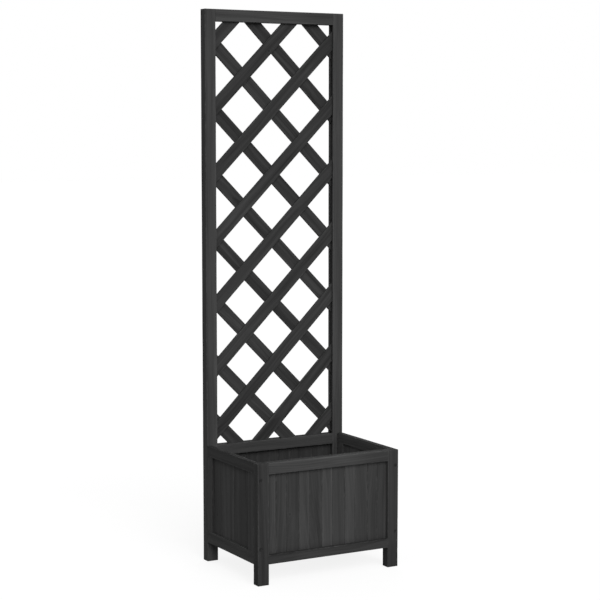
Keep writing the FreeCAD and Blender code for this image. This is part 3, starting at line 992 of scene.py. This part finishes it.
def board_tone(face, points, axis, start, number, beads):
    """Stain lightness with painted light and shade over a board, on its shown and its inner side;
    the back's inner side is painted in shade.
    """
    changes = stain_and_painted_light(f"{face}_board_{number}", points)
    if not beads:
        return SIDE_BOARD_TONES[number - 1] * changes
    tone = BOARD_TONES[number - 1]
    lift = STRIP_STAIN_AND_SHADE_LIFTS[number - 1]
    # Each strip's lift is partly stain, partly painted shading of the V line's two sides
    tone = np.where(points[:, axis] < start + BEAD_PLACE, tone * (1 + lift), tone * (1 - lift))
    if face == "back":
        # Painted shade on the back's inner face, inside the box
        inside = eased(points[:, 1], *BACK_INSIDE)
        tone = tone + (PAINTED_BACK_INSIDE_SHADE - tone) * inside
    return tone * changes


for prefix, count, axis, side, beads in (
    ("front", FRONT_BOARDS, 0, -1, True),
    ("back", FRONT_BOARDS, 0, -1, True),
    ("left", SIDE_BOARDS, 1, -1, False),
    ("right", SIDE_BOARDS, 1, 1, False),
):
    panel = boards(prefix, count, axis, side, beads)
    for number, (name, part, start) in enumerate(panel, 1):
        tone = board_tone(prefix, part["points"], axis, start, number, beads)
        piece = make_piece(name, [part], PANEL_FINISH, tone)


# Lattice slats

def slat(name, rise):
    """A slat at 45 degrees, cut off by the planes of the slots that hold its ends.

    For a point p across the slat, the ends are where the line origin + p * across +
    t * grain enters and leaves the lattice's box, so t runs between those two values.
    """
    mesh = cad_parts[name].data
    places = np.empty(len(mesh.vertices) * 3)
    mesh.vertices.foreach_get("co", places)
    places = places.reshape(-1, 3)
    diagonal = places[:, 2] - rise * places[:, 0]
    height = (diagonal.max() + diagonal.min()) / 2
    half_width = (diagonal.max() - diagonal.min()) / 2 * math.sqrt(0.5)
    y_low, y_high = places[:, 1].min(), places[:, 1].max()
    grain_way = np.array([1, 0, rise]) * math.sqrt(0.5)
    across = np.cross(Y, grain_way)
    origin = np.array([0, 0, height])
    ends = np.stack([lattice_low[[0, 2]], lattice_high[[0, 2]]])

    def line_ends(p):
        """Lowest and highest t inside the lattice's box for each p."""
        base = origin[[0, 2]] + p[..., None] * across[[0, 2]]
        cuts = (ends[:, None, None] - base) / grain_way[[0, 2]]
        return cuts.min(0).max(-1), cuts.max(0).min(-1)

    shortest, longest = line_ends(np.array([[-half_width, half_width]]))
    t_low, t_high = shortest.min(), longest.max()
    at, drawn = end_rounding(t_low, t_high, SLAT_END_EASE, SLAT_END_EASE)

    def clip(stations, p):
        first, last = line_ends(p)
        share = ((stations - t_low) / (t_high - t_low))[:, None]
        return first + (last - first) * share

    outline = rectangle(-half_width, half_width, y_low, y_high, SLAT_EASE)
    axes = (across, Y, grain_way)
    return carried_surface(outline, at, drawn, axes, origin, next(seeds), clip)


SLAT_TONE = 1.03
SLAT_LIFT = 0.12
SLAT_LIFT_FROM_TOP = (1000 * MM, 850 * MM)
SLAT_LIFT_FROM_BELOW = (430 * MM, 560 * MM)


def slat_tone(points):
    """Lightness over a slat: lighter between two heights than above and below them."""
    height = points[:, 2]
    lighter = eased(height, *SLAT_LIFT_FROM_TOP) * eased(height, *SLAT_LIFT_FROM_BELOW)
    return SLAT_TONE + SLAT_LIFT * lighter


for n in slat_numbers:
    for layer, rise in (("rising", 1), ("falling", -1)):
        name = f"{layer}_slat_{n}"
        part = slat(name, rise)
        piece = make_piece(name, [part], LATTICE_FINISH, slat_tone(part["points"]))


# Fasteners keep their own shapes

for name in ("frame_screws", "lattice_brads", "base_brads"):
    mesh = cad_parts[name].data
    mesh.materials.clear()
    mesh.materials.append(FASTENER_FINISH)


# Floor, backdrop and light

def seen_directly(sheet):
    """1 where the camera, a reflection or glass sees a surface, else 0."""
    path = sheet.node("ShaderNodeLightPath", output="Is Camera Ray")
    seen = path.math("MAXIMUM", path, path.other("Is Glossy Ray"))
    return seen.math("MAXIMUM", seen, path.other("Is Transmission Ray"))


FLOOR_HALF = 30.0
FLOOR_GLOW = 0.85
FLOOR_PAINT = 0.30
AMBIENT = 0.55


def make_floor():
    """A white floor that shows white to the camera and keeps the object's shadow."""
    mesh = bpy.data.meshes.new("floor")
    signs = ((-1, -1), (1, -1), (1, 1), (-1, 1))
    corners = [(x * FLOOR_HALF, y * FLOOR_HALF, 0) for x, y in signs]
    mesh.from_pydata(corners, [], [(0, 1, 2, 3)])
    floor = bpy.data.objects.new("floor", mesh)
    bpy.context.scene.collection.objects.link(floor)
    material, sheet = new_material("white_floor")
    seen = seen_directly(sheet)
    colour = seen.mix(grey(FLOOR_PAINT), grey(1.0))
    paint = sheet.node("ShaderNodeBsdfDiffuse", None, {"Color": colour})
    glow = sheet.node("ShaderNodeEmission", None, {"Color": grey(1.0), "Strength": 1.0})
    share = seen * FLOOR_GLOW
    mixed = sheet.node("ShaderNodeMixShader", None, {0: share, 1: paint, 2: glow})
    sheet.node("ShaderNodeOutputMaterial", None, {"Surface": mixed})
    mesh.materials.append(material)


def make_world():
    """An even surround: white where it is seen, and AMBIENT of that where it lights."""
    world = bpy.data.worlds.new("studio")
    bpy.context.scene.world = world
    world.use_nodes = True
    world.node_tree.nodes.clear()
    sheet = Wire(world.node_tree)
    seen = seen_directly(sheet)
    strength = AMBIENT + seen * (1.0 - AMBIENT)
    inputs = {"Color": grey(1.0), "Strength": strength}
    background = sheet.node("ShaderNodeBackground", None, inputs)
    sheet.node("ShaderNodeOutputWorld", None, {"Surface": background})


def soft_lamp(name, towards, spread, strength, reflected=True):
    """A broad, distant lamp: an even light from one direction with soft shadows.

    towards is the way its light goes and spread its breadth in degrees. At strength 1 a
    white face turned to it is white. One that isn't reflected leaves no shine.
    """
    lamp = bpy.data.lights.new(name, "SUN")
    lamp.angle = math.radians(spread)
    lamp.energy = strength * math.pi
    holder = bpy.data.objects.new(name, lamp)
    bpy.context.scene.collection.objects.link(holder)
    holder.rotation_mode = "QUATERNION"
    holder.rotation_quaternion = Vector(towards).to_track_quat("-Z", "Y")
    holder.visible_glossy = reflected


make_floor()
make_world()
soft_lamp("key_lamp", towards=(0.06, 0.80, -0.55), spread=45.0, strength=0.92)
soft_lamp("fill_lamp", towards=(-0.45, -0.89, -0.04), spread=40.0, strength=0.75, reflected=False)


# Camera

def make_camera():
    """The camera, turned from straight ahead to the right and dipped, with no shift."""
    turn, dip = math.radians(CAMERA_TURN), math.radians(CAMERA_DIP)
    view = Vector((math.sin(turn) * math.cos(dip), math.cos(turn) * math.cos(dip), -math.sin(dip)))
    camera = bpy.data.cameras.new("camera")
    camera.lens = CAMERA_LENS
    camera.sensor_width = 36.0
    camera.clip_end = 100.0
    holder = bpy.data.objects.new("camera", camera)
    bpy.context.scene.collection.objects.link(holder)
    holder.location = CAMERA_PLACE
    holder.rotation_mode = "QUATERNION"
    holder.rotation_quaternion = view.to_track_quat("-Z", "Y")
    bpy.context.scene.camera = holder


make_camera()
bpy.context.scene.view_settings.view_transform = "Standard"
